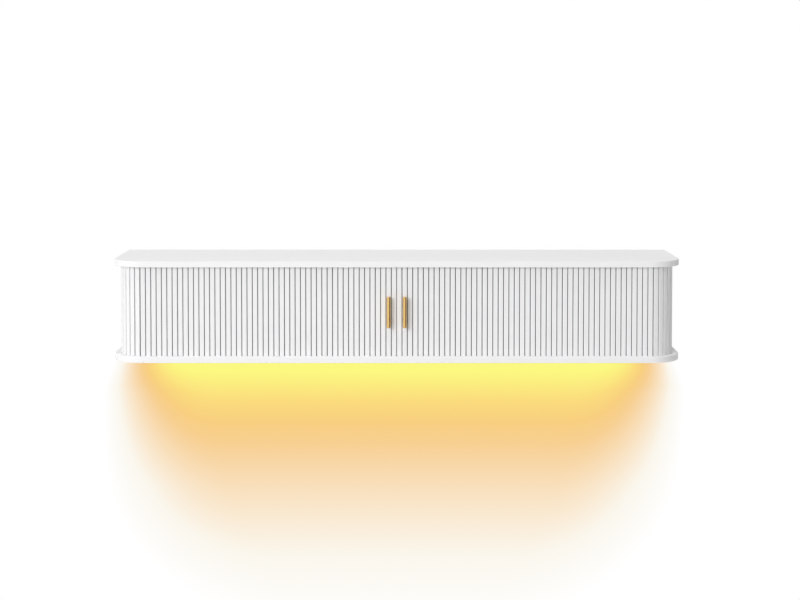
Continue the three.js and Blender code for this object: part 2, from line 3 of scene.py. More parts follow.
import bmesh
import bpy
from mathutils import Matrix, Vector


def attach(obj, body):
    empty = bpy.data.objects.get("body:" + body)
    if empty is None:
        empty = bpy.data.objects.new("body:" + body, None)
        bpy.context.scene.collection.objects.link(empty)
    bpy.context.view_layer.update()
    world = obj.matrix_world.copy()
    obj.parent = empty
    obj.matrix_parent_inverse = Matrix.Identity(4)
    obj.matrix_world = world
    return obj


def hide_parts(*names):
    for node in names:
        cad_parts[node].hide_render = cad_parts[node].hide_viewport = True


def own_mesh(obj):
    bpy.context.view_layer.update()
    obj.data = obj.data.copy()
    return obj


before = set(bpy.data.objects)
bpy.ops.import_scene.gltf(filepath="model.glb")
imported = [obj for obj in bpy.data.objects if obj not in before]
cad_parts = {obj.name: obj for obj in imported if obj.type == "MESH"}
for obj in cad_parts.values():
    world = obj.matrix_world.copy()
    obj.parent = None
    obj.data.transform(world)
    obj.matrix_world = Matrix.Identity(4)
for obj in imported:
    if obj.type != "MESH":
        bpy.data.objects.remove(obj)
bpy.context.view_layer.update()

# Camera, in front of the middle and half a metre above the top. The console keeps its upright lines,
# so most of the way down to it is shift and the rest a slight tilt.
mm = 0.001
scene = bpy.context.scene
camera_data = bpy.data.cameras.new("camera")
camera = bpy.data.objects.new("camera", camera_data)
scene.collection.objects.link(camera)
camera.location = (0, -4.97, 0.627)
degrees_down = 2.2
camera.rotation_euler = (math.radians(90 - degrees_down), 0, 0)
camera_data.sensor_width = 36
camera_data.lens = 66.68
camera_data.shift_x = 0.0041
camera_data.shift_y = -0.1884
scene.camera = camera
scene.view_settings.view_transform = "Standard"


# Studio: a white surround for the camera and for reflections, and a softer grey one as the light that
# comes from all sides.
def linear(colour):
    """Turns a colour written as #RRGGBB into the linear values that Blender works in."""
    parts = [int(colour[i:i + 2], 16) / 255 for i in (1, 3, 5)]
    return [v / 12.92 if v <= 0.04045 else ((v + 0.055) / 1.055) ** 2.4 for v in parts] + [1]


def add_node(tree, kind, settings=None, links=None):
    """Adds a node, sets its properties and inputs by name, and links outputs of others to its inputs."""
    node = tree.nodes.new(kind)
    for name, value in (settings or {}).items():
        if isinstance(name, int) or name in node.inputs:
            node.inputs[name].default_value = value
        else:
            setattr(node, name, value)
    for name, output in (links or {}).items():
        tree.links.new(output, node.inputs[name])
    return node


def seen_directly(tree):
    """Is 1 for a ray from the camera, a reflection or a clear material, and 0 from a lit surface."""
    rays = add_node(tree, "ShaderNodeLightPath").outputs
    mirrored = add_node(tree, "ShaderNodeMath", {"operation": "MAXIMUM"},
                        {0: rays["Is Glossy Ray"], 1: rays["Is Transmission Ray"]})
    return add_node(tree, "ShaderNodeMath", {"operation": "MAXIMUM"},
                    {0: rays["Is Camera Ray"], 1: mirrored.outputs[0]}).outputs[0]


world = bpy.data.worlds.new("studio")
scene.world = world
world.use_nodes = True
sky = world.node_tree
sky.nodes.clear()
surround_light = add_node(sky, "ShaderNodeBackground", {"Color": linear("#FFFFFF"), "Strength": 0.36})
surround_seen = add_node(sky, "ShaderNodeBackground", {"Color": linear("#FFFFFF"), "Strength": 1})
surround = add_node(sky, "ShaderNodeMixShader", None,
                    {0: seen_directly(sky), 1: surround_light.outputs[0], 2: surround_seen.outputs[0]})
add_node(sky, "ShaderNodeOutputWorld", None, {"Surface": surround.outputs[0]})

# Lamps: a large softbox in front on the left, a smaller one to the left, and one above. Each is given
# by the direction it stands in from the console's middle, its distance, its side and its power.
console_middle = Vector((0, -0.17, -0.06))
lamps = {
    "key_softbox": ((-0.46, -0.82, 0.33), 14.0, 5.1, 865),
    "left_softbox": ((-0.95, -0.25, 0.20), 10.0, 4.0, 115),
    "top_softbox": ((-0.10, -0.25, 0.96), 6.0, 3.6, 124),
}
for name, (way, distance, side, power) in lamps.items():
    lamp_data = bpy.data.lights.new(name, "AREA")
    lamp_data.shape = "SQUARE"
    lamp_data.size = side
    lamp_data.energy = power
    lamp = bpy.data.objects.new(name, lamp_data)
    scene.collection.objects.link(lamp)
    lamp.location = Vector(way).normalized() * distance + console_middle
    lamp.rotation_euler = Vector(way).to_track_quat("Z", "Y").to_euler()


# Floor, pale and matt. Near the console it takes the shadow, and further off it fades to the white of
# the surround.
def only(piece):
    """Selects one object and makes it the active one."""
    bpy.ops.object.select_all(action="DESELECT")
    piece.select_set(True)
    bpy.context.view_layer.objects.active = piece


def placed(piece, name, turn=(0, 0, 0), place=(0, 0, 0), flip=False):
    """Turns and moves an object by a place in millimetres, and puts both into its mesh."""
    piece.name = piece.data.name = name
    piece.rotation_euler = turn
    piece.location = Vector(place) * mm
    if flip:
        piece.scale.x = -1
    only(piece)
    bpy.ops.object.transform_apply(location=True, rotation=True, scale=True)
    if flip:
        bpy.ops.object.mode_set(mode="EDIT")
        bpy.ops.mesh.select_all(action="SELECT")
        bpy.ops.mesh.normals_make_consistent(inside=False)
        bpy.ops.object.mode_set(mode="OBJECT")
    return piece


floor_height, room_side = -1120, 16
bpy.ops.object.select_all(action="DESELECT")
bpy.ops.mesh.primitive_grid_add(x_subdivisions=8, y_subdivisions=8, size=1)
floor = bpy.context.object
floor.scale = (room_side, room_side, 1)
placed(floor, "floor", place=(0, 0, floor_height))
matt_floor = bpy.data.materials.new("matt_pale_floor")
matt_floor.use_nodes = True
tree = matt_floor.node_tree
paint = tree.nodes["Principled BSDF"]
paint.inputs["Base Color"].default_value = linear("#F1F1EF")
paint.inputs["Roughness"].default_value = 0.9
paint.inputs["Specular IOR Level"].default_value = 0.1
where = add_node(tree, "ShaderNodeTexCoord").outputs["Object"]
near = add_node(tree, "ShaderNodeVectorMath",
                {"operation": "DISTANCE", 1: (0, -0.4, floor_height * mm)}, {0: where})
fade = add_node(tree, "ShaderNodeMapRange",
                {"interpolation_type": "SMOOTHSTEP", "From Min": 0.2, "From Max": 2.6, "To Min": 0.35},
                {"Value": near.outputs["Value"]})
fade_seen = add_node(tree, "ShaderNodeMath", {"operation": "MULTIPLY"},
                     {0: fade.outputs[0], 1: seen_directly(tree)})
plain_white = add_node(tree, "ShaderNodeEmission", {"Color": linear("#FFFFFF"), "Strength": 1})
floor_mix = add_node(tree, "ShaderNodeMixShader", None,
                     {0: fade_seen.outputs[0], 1: paint.outputs[0], 2: plain_white.outputs[0]})
tree.links.new(floor_mix.outputs[0], tree.nodes["Material Output"].inputs["Surface"])
floor.data.materials.append(matt_floor)

# Dark card, upright on the right and turned toward the console. Only reflections see it, and it gives
# the brass bars their brown side.
bpy.ops.object.select_all(action="DESELECT")
bpy.ops.mesh.primitive_grid_add(x_subdivisions=4, y_subdivisions=4, size=1)
card = bpy.context.object
card.scale = (2.4, 1.5, 1)
placed(card, "dark_card", turn=(math.pi / 2, 0, math.radians(62)), place=(1930, -1370, -380))
grey_felt = bpy.data.materials.new("dark_grey_felt")
grey_felt.use_nodes = True
paint = grey_felt.node_tree.nodes["Principled BSDF"]
paint.inputs["Base Color"].default_value = linear("#38342E")
paint.inputs["Roughness"].default_value = 1
card.data.materials.append(grey_felt)
card.visible_camera = card.visible_diffuse = card.visible_shadow = card.visible_transmission = False

# Wall that the console hangs on, as white as the surround, with the glow of the light strip painted on
# it as emission by place: yellow under the board, then orange, then white again. It is seen from the
# room's side only, so that it doesn't hide the console's back.
board_underside = -221.88
wall_top, wall_gap = 3000, 1
bpy.ops.object.select_all(action="DESELECT")
bpy.ops.mesh.primitive_grid_add(x_subdivisions=8, y_subdivisions=8, size=1)
wall = bpy.context.object
wall.scale = (room_side, (wall_top - floor_height) * mm, 1)
placed(wall, "wall_with_painted_glow", turn=(math.pi / 2, 0, 0), place=(0, wall_gap, (wall_top + floor_height) / 2))
glow = bpy.data.materials.new("painted_wall_glow")
glow.use_nodes = True
tree = glow.node_tree
tree.nodes.clear()
where = add_node(tree, "ShaderNodeTexCoord").outputs["Object"]
across = add_node(tree, "ShaderNodeSeparateXYZ", None, {0: where}).outputs
# The painted glow is brightest straight under the board, as wide as the strip there, and narrower and
# softer lower down, where it also drifts a little to the left. All places are in metres.
glow_foot, glow_head = -1.205, -0.295
bright = add_node(tree, "ShaderNodeMapRange", {"From Min": glow_foot, "From Max": glow_head},
                  {"Value": across["Z"]})
lower = add_node(tree, "ShaderNodeMath", {"operation": "SUBTRACT", 0: 1}, {1: bright.outputs[0]})
lower_power = add_node(tree, "ShaderNodeMath", {"operation": "POWER", 1: 4}, {0: lower.outputs[0]})
drift = add_node(tree, "ShaderNodeMapRange", {"To Min": 0.006, "To Max": 0.027},
                 {"Value": lower.outputs[0]})
from_centre = add_node(tree, "ShaderNodeMath", {"operation": "ADD"},
                       {0: across["X"], 1: drift.outputs[0]})
sideways = add_node(tree, "ShaderNodeMath", {"operation": "ABSOLUTE"}, {0: from_centre.outputs[0]})
# It is full as far out as full_to, and gone at ends_at.
full_to = add_node(tree, "ShaderNodeMapRange", {"To Min": 0.55, "To Max": 0},
                   {"Value": lower_power.outputs[0]})
ends_high = add_node(tree, "ShaderNodeMapRange",
                     {"From Min": -0.37, "From Max": -0.235, "To Min": 0.977, "To Max": 0.925},
                     {"Value": across["Z"]})
ends_at = add_node(tree, "ShaderNodeMapRange", {"To Max": 0.4},
                   {"Value": lower_power.outputs[0], "To Min": ends_high.outputs[0]})
edge = add_node(tree, "ShaderNodeMapRange", None,
                {"Value": sideways.outputs[0], "From Min": full_to.outputs[0],
                 "From Max": ends_at.outputs[0]})
# Its edge is steeper higher up, most of all within 150 mm of the board.
steepness = add_node(tree, "ShaderNodeMapRange",
                     {"From Min": -0.7, "From Max": -0.2, "To Min": 2, "To Max": 4.2},
                     {"Value": across["Z"]})
steep_high = add_node(tree, "ShaderNodeMapRange", {"From Min": -0.38, "From Max": -0.3},
                      {"Value": across["Z"]})
power = add_node(tree, "ShaderNodeMath", {"operation": "ADD"},
                 {0: steepness.outputs[0], 1: steep_high.outputs[0]})
edge_power = add_node(tree, "ShaderNodeMath", {"operation": "POWER"},
                      {0: edge.outputs[0], 1: power.outputs[0]})
spread = add_node(tree, "ShaderNodeMath", {"operation": "SUBTRACT", 0: 1}, {1: edge_power.outputs[0]})
below = add_node(tree, "ShaderNodeMath", {"operation": "LESS_THAN", 1: board_underside * mm},
                 {0: across["Z"]})
heat = spread
for share in (bright, below):
    heat = add_node(tree, "ShaderNodeMath", {"operation": "MULTIPLY"},
                    {0: heat.outputs[0], 1: share.outputs[0]})
warm = add_node(tree, "ShaderNodeValToRGB", None, {"Fac": heat.outputs[0]})
stops = {0.0: "#FFFFFF", 0.28: "#FBF7EE", 0.71: "#F7CF91",
         0.79: "#F8CF80", 0.87: "#FBDC7D", 0.98: "#FCF981"}
ramp = warm.color_ramp.elements
for i, (share, colour) in enumerate(stops.items()):
    stop = ramp[i] if i < 2 else ramp.new(share)
    stop.position = share
    stop.color = linear(colour)
# Painted glow: the ramp's colour given out as emission, not light from the strip falling on the wall.
lit = add_node(tree, "ShaderNodeEmission", {"Strength": 1}, {"Color": warm.outputs["Color"]})
# Right behind the console the wall is in shade. That part shows through the cable holes.
shade_half_width, shade_middle, shade_half_height = 0.87, -0.062, 0.13
shade_across = add_node(tree, "ShaderNodeMath", {"operation": "COMPARE", 1: 0, 2: shade_half_width},
                        {0: across["X"]})
shade_up = add_node(tree, "ShaderNodeMath",
                    {"operation": "COMPARE", 1: shade_middle, 2: shade_half_height}, {0: across["Z"]})
shade = add_node(tree, "ShaderNodeMath", {"operation": "MULTIPLY"},
                 {0: shade_across.outputs[0], 1: shade_up.outputs[0]})
unlit = add_node(tree, "ShaderNodeBsdfDiffuse", {"Color": linear("#F1F1EF")})
wall_face = add_node(tree, "ShaderNodeMixShader", None,
                     {0: shade.outputs[0], 1: lit.outputs[0], 2: unlit.outputs[0]})
clear = add_node(tree, "ShaderNodeBsdfTransparent")
behind = add_node(tree, "ShaderNodeNewGeometry").outputs["Backfacing"]
in_room = add_node(tree, "ShaderNodeMath", {"operation": "SUBTRACT", 0: 1}, {1: behind})
shown = add_node(tree, "ShaderNodeMath", {"operation": "MULTIPLY"},
                 {0: in_room.outputs[0], 1: seen_directly(tree)})
wall_mix = add_node(tree, "ShaderNodeMixShader", None,
                    {0: shown.outputs[0], 1: clear.outputs[0], 2: wall_face.outputs[0]})
add_node(tree, "ShaderNodeOutputMaterial", None, {"Surface": wall_mix.outputs[0]})
wall.data.materials.append(glow)


# Boards: two sheets of 19 mm MDF, square at the wall and round at the front corners, with softened
# edges and satin white lacquer. A groove for the doors runs round inside each.
def block(name, low, high):
    """A box between two corners in millimetres, from which a piece is shaped."""
    size = [(b - a) * mm for a, b in zip(low, high)]
    bpy.ops.object.select_all(action="DESELECT")
    bpy.ops.mesh.primitive_cube_add(size=1)
    piece = bpy.context.object
    piece.scale = size
    return placed(piece, name, place=[(a + b) / 2 for a, b in zip(low, high)])


def pick(piece, kind, test):
    """Opens a piece in edit mode with those vertices, edges or faces selected whose points pass a test.

    The test is given the points in millimetres.
    """
    only(piece)
    bpy.ops.object.mode_set(mode="EDIT")
    bpy.ops.mesh.select_mode(type=kind)
    bpy.ops.mesh.select_all(action="DESELECT")
    mesh = bmesh.from_edit_mesh(piece.data)
    for item in {"VERT": mesh.verts, "EDGE": mesh.edges, "FACE": mesh.faces}[kind]:
        points = [item.co / mm] if kind == "VERT" else [v.co / mm for v in item.verts]
        if test(points):
            item.select_set(True)
    bmesh.update_edit_mesh(piece.data)


def rounded(piece, radius, segments, test):
    """Rounds the edges of a piece that pass a test, by a radius in millimetres."""
    pick(piece, "EDGE", test)
    bpy.ops.mesh.bevel(offset=radius * mm, segments=segments, profile=0.5, affect="EDGES")
    bpy.ops.object.mode_set(mode="OBJECT")
    return piece


def cut(piece, tool):
    """Cuts the shape of a tool out of a piece, and takes the tool away."""
    only(piece)
    modifier = piece.modifiers.new("cut", "BOOLEAN")
    modifier.operation = "DIFFERENCE"
    modifier.solver = "EXACT"
    modifier.object = tool
    bpy.ops.object.modifier_apply(modifier=modifier.name)
    bpy.data.objects.remove(tool)
    return piece


def upright(points):
    """Says whether an edge runs up and down."""
    return len(points) == 2 and (points[0] - points[1]).xy.length < 0.01


smooth_degrees = 32


def finished(piece, finish, slot, body, *nodes):
    """Gives a piece smooth shading, its material, its body and the nodes it stands for. The slot is not
    used.
    """
    only(piece)
    bpy.ops.object.shade_smooth_by_angle(angle=math.radians(smooth_degrees))
    modifier = piece.modifiers.new("even", "WEIGHTED_NORMAL")
    modifier.keep_sharp = True
    bpy.ops.object.modifier_apply(modifier=modifier.name)
    if not piece.data.materials:
        piece.data.materials.append(finish)
    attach(piece, body)
    if nodes:
        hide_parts(*nodes)
    return piece


def new_finish(name, colour, roughness, metallic=0, ior=1.5):
    """Starts a material from its colour, roughness, and whether it is a metal."""
    finish = bpy.data.materials.new(name)
    finish.use_nodes = True
    shader = finish.node_tree.nodes["Principled BSDF"]
    shader.inputs["Base Color"].default_value = linear(colour)
    shader.inputs["Roughness"].default_value = roughness
    shader.inputs["Metallic"].default_value = metallic
    shader.inputs["IOR"].default_value = ior
    return finish, finish.node_tree, shader


# Sprayed two-part lacquer: a fine orange peel about 1.5 mm across, and clouds where the coat is a
# touch thicker.
lacquer, tree, shader = new_finish("satin_white_lacquer", "#F3F3F4", 0.42)
where = add_node(tree, "ShaderNodeTexCoord").outputs["Object"]
peel = add_node(tree, "ShaderNodeTexNoise", {"Scale": 650, "Detail": 2, "Roughness": 0.4},
                {"Vector": where})
peel_bump = add_node(tree, "ShaderNodeBump", {"Strength": 0.12, "Distance": 0.00012},
                     {"Height": peel.outputs["Fac"]})
cloud = add_node(tree, "ShaderNodeTexNoise", {"Scale": 14, "Detail": 3}, {"Vector": where})
coat = add_node(tree, "ShaderNodeMapRange", {"To Min": 0.38, "To Max": 0.46},
                {"Value": cloud.outputs["Fac"]})
tint = add_node(tree, "ShaderNodeMix", {"data_type": "RGBA", 6: linear("#F1F1F2"), 7: linear("#F5F5F6")},
                {0: cloud.outputs["Fac"]})
tree.links.new(tint.outputs[2], shader.inputs["Base Color"])
tree.links.new(coat.outputs[0], shader.inputs["Roughness"])
tree.links.new(peel_bump.outputs[0], shader.inputs["Normal"])

console_half, console_depth, board_thickness = 900, 350, 19
board_radius, edge_radius = 100, 1.3
inside_low, inside_high = -202.88, 79.12
tambour_half, tambour_front, tambour_rear, tambour_radius = 880, 330, 30, 80
groove_clearance, curtain_thickness, groove_depth = 0.8, 6, 7
past = 5  # how far a cutting tool reaches past the face that it opens


def board(name, low):
    """A board with rounded front corners and softened edges."""
    high = low + board_thickness
    piece = block(name, (-console_half, -console_depth, low), (console_half, 0, high))
    rounded(piece, board_radius, 32, lambda points: upright(points) and points[0].y < -1)
    return rounded(piece, edge_radius, 4, lambda points: abs(points[0].z - points[1].z) < 0.01)


def groove_tool(low, high):
    """A loop as wide as the tambour and its clearance, with the doors' corners."""
    reach = tambour_half + groove_clearance
    front, rear = -tambour_front - groove_clearance, groove_clearance - tambour_rear
    tool = block("groove_tool", (-reach, front, low), (reach, rear, high))
    rounded(tool, tambour_radius + groove_clearance, 24, upright)
    width = curtain_thickness + 2 * groove_clearance
    core = block("core", (width - reach, front + width, low - past),
                 (reach - width, rear - width, high + past))
    rounded(core, tambour_radius + groove_clearance - width, 24, upright)
    return cut(tool, core)


top_board = board("upper_board", inside_high)
cut(top_board, groove_tool(inside_high - past, inside_high + groove_depth))
bottom_board = board("lower_board", inside_low - board_thickness)
cut(bottom_board, groove_tool(inside_low - groove_depth, inside_low + past))
finished(top_board, lacquer, "lacquered_mdf", "console", "top_board")


def in_finish(finish, *names):
    """Gives nodes of the frame a better material."""
    for name in names:
        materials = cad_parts[name].data.materials
        for i in range(len(materials)):
            materials[i] = finish


# Back panels and rear posts, of the same lacquered board. The panels are housed in both boards, and
# the frame's own shapes are kept for them.
in_finish(lacquer, "outer_back_panel", "false_back_panel", "left_rear_post", "right_rear_post")

# Uprights: two inner sides and three dividers of 18 mm MDF, screwed through the lower board, with
# eased front edges.
upright_thickness, upright_rear, divider_front, side_front = 18, -48.3, -308, -319.04
glue_line = 0.3
upright_low, upright_high = inside_low + glue_line, inside_high - glue_line
upright_places = {
    "left_inner_side": (-802.86, side_front),
    "left_divider": (-401.43, divider_front),
    "centre_divider": (0, divider_front),
    "right_divider": (401.43, divider_front),
    "right_inner_side": (802.86, side_front),
}
for node, (x, front) in upright_places.items():
    half = upright_thickness / 2
    panel = block(node + "_panel", (x - half, front, upright_low), (x + half, upright_rear, upright_high))
    rounded(panel, 1.2, 3, lambda points: upright(points) and points[0].y < front + 1)
    finished(panel, lacquer, "lacquered_mdf", "console", node)

# Hanging rails: birch plywood with matching 45 degree edges, bare and sanded. One is screwed to the
# wall through four countersunk holes, and the console hooks over it.
plywood, tree, shader = new_finish("sanded_birch_plywood", "#DDC296", 0.6)
where = add_node(tree, "ShaderNodeTexCoord").outputs
parts = add_node(tree, "ShaderNodeSeparateXYZ", None, {0: where["Object"]}).outputs
facing = add_node(tree, "ShaderNodeSeparateXYZ", None, {0: where["Normal"]}).outputs
long_grain = add_node(tree, "ShaderNodeMapping", {"Scale": (9, 60, 260)}, {"Vector": where["Object"]})
grain = add_node(tree, "ShaderNodeTexNoise", {"Scale": 1, "Detail": 6, "Roughness": 0.6, "Distortion": 0.4},
                 {"Vector": long_grain.outputs[0]})
face = add_node(tree, "ShaderNodeMix", {"data_type": "RGBA", 6: linear("#CFAE7C"), 7: linear("#E9D3A9")},
                {0: grain.outputs["Fac"]})
# The plies are 1.4 mm thick and show as lighter and darker lines on the edges.
two_plies = 0.0028
ply = add_node(tree, "ShaderNodeMath", {"operation": "MULTIPLY", 1: 2 * math.pi / two_plies},
               {0: parts["Y"]})
ply_wave = add_node(tree, "ShaderNodeMath", {"operation": "SINE"}, {0: ply.outputs[0]})
ply_share = add_node(tree, "ShaderNodeMapRange", {"From Min": -0.25, "From Max": 0.25},
                     {"Value": ply_wave.outputs[0]})
plies = add_node(tree, "ShaderNodeMix", {"data_type": "RGBA", 6: linear("#B58C5A"), 7: linear("#DFC497")},
                 {0: ply_share.outputs[0]})
toward = add_node(tree, "ShaderNodeMath", {"operation": "ABSOLUTE"}, {0: facing["Y"]})
on_face = add_node(tree, "ShaderNodeMath", {"operation": "GREATER_THAN", 1: 0.85}, {0: toward.outputs[0]})
birch = add_node(tree, "ShaderNodeMix", {"data_type": "RGBA"},
                 {0: on_face.outputs[0], 6: plies.outputs[2], 7: face.outputs[2]})
tree.links.new(birch.outputs[2], shader.inputs["Base Color"])
fibre = add_node(tree, "ShaderNodeBump", {"Strength": 0.25, "Distance": 0.0003},
                 {"Height": grain.outputs["Fac"]})
tree.links.new(fibre.outputs[0], shader.inputs["Normal"])


def turned(name, profile, count, closed=False):
    """A turned piece, grown ring by ring along Z through a profile of radius and height in millimetres."""
    bpy.ops.object.select_all(action="DESELECT")
    radius, height = profile[0]
    bpy.ops.mesh.primitive_circle_add(vertices=count, radius=radius * mm, location=(0, 0, height * mm),
                                      fill_type="NOTHING" if closed else "NGON")
    piece = placed(bpy.context.object, name, place=(0, 0, height))
    bpy.ops.object.mode_set(mode="EDIT")
    bpy.ops.mesh.select_mode(type="EDGE")
    bpy.ops.mesh.select_all(action="SELECT")
    for next_radius, next_height in profile[1:]:
        rise = (next_height - height) * mm
        bpy.ops.mesh.extrude_edges_move(TRANSFORM_OT_translate={"value": (0, 0, rise)})
        share = next_radius / radius
        bpy.ops.transform.resize(value=(share, share, 1), center_override=(0, 0, next_height * mm))
        radius, height = next_radius, next_height
    if closed:
        bpy.ops.mesh.select_all(action="SELECT")
        bpy.ops.mesh.remove_doubles(threshold=0.01 * mm)
    else:
        bpy.ops.mesh.edge_face_add()
    bpy.ops.mesh.select_all(action="SELECT")
    bpy.ops.mesh.normals_make_consistent(inside=False)
    bpy.ops.object.mode_set(mode="OBJECT")
    return piece


def copied(piece, name):
    """A copy of a piece, with a mesh of its own."""
    only(piece)
    bpy.ops.object.duplicate()
    twin = bpy.context.object
    twin.name = twin.data.name = name
    return twin


toward_room = (math.pi / 2, 0, 0)
rail_half, rail_thickness = 750, 17.4
# Each rail: two corners, the edge that is moved as y and z, and how far up it goes to make the slope.
rails = {
    "wall_rail": ((-rail_half, -rail_thickness, -25), (rail_half, 0, 42.4), (0, 42.4), -rail_thickness),
    "hanging_rail": ((-rail_half, -17.7, 25.7), (rail_half, -0.3, 78.8), (-17.7, 25.7), rail_thickness),
}
for node, (low, high, (y, z), slope) in rails.items():
    rail = block(node + "_batten", low, high)
    pick(rail, "VERT", lambda points: abs(points[0].y - y) < 1 and abs(points[0].z - z) < 1)
    bpy.ops.transform.translate(value=(0, 0, slope * mm))
    bpy.ops.object.mode_set(mode="OBJECT")
    rounded(rail, 0.6, 2, lambda points: abs(points[0].x - points[1].x) > 1000)
    if node == "wall_rail":
        for share in (-0.88, -0.32, 0.32, 0.88):
            hole = turned("hole", [(2.75, -22), (2.75, -3), (5.5, 0), (5.5, past)], 24)
            place = (share * rail_half, -rail_thickness, 0)
            cut(rail, placed(hole, "hole", turn=toward_room, place=place))
    finished(rail, plywood, "birch_plywood", "console", node)

# Countersunk screws, zinc plated, with a cross recess: ten under the lower board, four in the hanging
# rail, two in each handle's lead rail and one in each stop.
zinc, tree, shader = new_finish("bright_zinc_plate", "#C9CCD0", 0.34, 1)
where = add_node(tree, "ShaderNodeTexCoord").outputs["Object"]
bloom = add_node(tree, "ShaderNodeTexNoise", {"Scale": 420, "Detail": 3}, {"Vector": where})
plate = add_node(tree, "ShaderNodeMapRange", {"To Min": 0.26, "To Max": 0.42},
                 {"Value": bloom.outputs["Fac"]})
hue = add_node(tree, "ShaderNodeMix", {"data_type": "RGBA", 6: linear("#BFC5CC"), 7: linear("#D4D5D4")},
               {0: bloom.outputs["Fac"]})
tree.links.new(plate.outputs[0], shader.inputs["Roughness"])
tree.links.new(hue.outputs[2], shader.inputs["Base Color"])


def screw(name, diameter, head, head_depth, length, pitch):
    """A screw with its head's face at zero and its point down, with a thread and a cross recess."""
    thread, core, tip = diameter / 2, diameter / 2 * 0.72, 4
    profile = [(0.2, -length), (core, tip - length)]
    height = tip - length
    while height + pitch < -head_depth - 3:
        profile += [(thread, height + pitch * 0.45), (thread, height + pitch * 0.55),
                    (core, height + pitch)]
        height += pitch
    profile += [(core, -head_depth - 0.6), (thread, -head_depth),
                (head / 2, -0.25), (head / 2 - 0.1, 0)]
    piece = turned(name, profile, 20)
    arm, reach = head * 0.07, head * 0.29
    for across, along in ((arm, reach), (reach, arm)):
        cross = block("cross", (-across, -along, -head_depth * 0.9), (across, along, 1))
        cut(piece, cross)
    return piece


carcass_screw = screw("screw_pattern", 5, 10, 3, 50, 2.2)
screw_rows = (-98.3, -258)
screw_places = [(x, y) for x, _ in upright_places.values() for y in screw_rows]
for i, (x, y) in enumerate(screw_places):
    fastener = copied(carcass_screw, f"upright_screw_{i + 1}")
    placed(fastener, fastener.name, turn=(math.pi, 0, 0), place=(x, y, board_underside))
    finished(fastener, zinc, "zinc_steel", "console", f"carcass_screw_{i + 1}")
    sink = turned("sink", [(2.6, -30), (2.8, -3), (5.4, 0), (5.4, past)], 24)
    cut(bottom_board, placed(sink, "sink", turn=(math.pi, 0, 0), place=(x, y, board_underside)))
bpy.data.objects.remove(carcass_screw)

rail_screw = screw("screw_pattern", 4, 8, 2.2, 22, 1.8)
rail_screw_face, rail_screw_height = -26, 60.82
for i, share in enumerate((-0.9, -0.3, 0.3, 0.9)):
    fastener = copied(rail_screw, f"batten_screw_{i + 1}")
    placed(fastener, fastener.name, turn=toward_room,
           place=(share * rail_half, rail_screw_face, rail_screw_height))
    finished(fastener, zinc, "zinc_steel", "console", f"hanging_rail_screw_{i + 1}")
bpy.data.objects.remove(rail_screw)

# Lower board again: the notch for cables at the wall, through the whole board, and the recess for the
# light channel and the socket at its right end.
notch_half, notch_depth = 40, 15
recess_left, recess_right, recess_front, recess_rear, recess_top = -803.6, 822.6, -83.8, -66.2, -213.6
under_board, in_console = -230, -190
cut(bottom_board, block("notch", (-notch_half, -notch_depth, under_board), (notch_half, past, in_console)))
cut(bottom_board, block("recess", (recess_left, recess_front, under_board),
                        (recess_right, recess_rear, recess_top)))
finished(bottom_board, lacquer, "lacquered_mdf", "console", "bottom_board")

# Tambour slats: 14.5 mm wide, of MDF, with rounded front edges, sprayed before they are glued to a
# canvas at 16.82 mm. The grain of the coat runs up and down.
slats_finish, tree, shader = new_finish("sprayed_slats", "#F1F1F2", 0.46)
where = add_node(tree, "ShaderNodeTexCoord").outputs["Object"]
upright_grain = add_node(tree, "ShaderNodeMapping", {"Scale": (700, 700, 30)}, {"Vector": where})
streak = add_node(tree, "ShaderNodeTexNoise", {"Scale": 1, "Detail": 4, "Roughness": 0.55},
                  {"Vector": upright_grain.outputs[0]})
streak_bump = add_node(tree, "ShaderNodeBump", {"Strength": 0.2, "Distance": 0.0001},
                       {"Height": streak.outputs["Fac"]})
per_slat = add_node(tree, "ShaderNodeTexNoise", {"Scale": 23, "Detail": 2}, {"Vector": where})
slat_tint = add_node(tree, "ShaderNodeMix",
                     {"data_type": "RGBA", 6: linear("#EEEEEF"), 7: linear("#F3F3F4")},
                     {0: per_slat.outputs["Fac"]})
tree.links.new(slat_tint.outputs[2], shader.inputs["Base Color"])
tree.links.new(streak_bump.outputs[0], shader.inputs["Normal"])

# Cotton canvas behind the slats. Its near-black colour is painted shade for the shadow deep in the gaps,
# so that each gap shows as a dark line: plain weave, drawn with threads 0.9 mm apart instead of 0.5 mm
# so that it shows.
canvas_painted_gap_shade, tree, shader = new_finish("cotton_canvas_in_painted_gap_shade", "#262626", 0.95)
where = add_node(tree, "ShaderNodeTexCoord").outputs["Object"]
run = add_node(tree, "ShaderNodeSeparateXYZ", None, {0: where}).outputs
weave_pitch = 0.0009
round_the_path = add_node(tree, "ShaderNodeMath", {"operation": "SUBTRACT"}, {0: run["X"], 1: run["Y"]})
threads = []
for place in (round_the_path.outputs[0], run["Z"]):
    turn = add_node(tree, "ShaderNodeMath", {"operation": "MULTIPLY", 1: 2 * math.pi / weave_pitch},
                    {0: place})
    thread = add_node(tree, "ShaderNodeMath", {"operation": "SINE"}, {0: turn.outputs[0]})
    threads.append(thread.outputs[0])
weave = add_node(tree, "ShaderNodeMath", {"operation": "MULTIPLY"}, {0: threads[0], 1: threads[1]})
weave_share = add_node(tree, "ShaderNodeMapRange", {"From Min": -1, "From Max": 1},
                       {"Value": weave.outputs[0]})
# The weave's two near-black tones are the painted shade of the gaps.
weave_in_painted_shade = add_node(tree, "ShaderNodeMix",
                      {"data_type": "RGBA", 6: linear("#1C1C1C"), 7: linear("#303030")},
                      {0: weave_share.outputs[0]})
weave_bump = add_node(tree, "ShaderNodeBump", {"Strength": 0.5, "Distance": 0.0002},
                      {"Height": weave_share.outputs[0]})
tree.links.new(weave_in_painted_shade.outputs[2], shader.inputs["Base Color"])
tree.links.new(weave_bump.outputs[0], shader.inputs["Normal"])

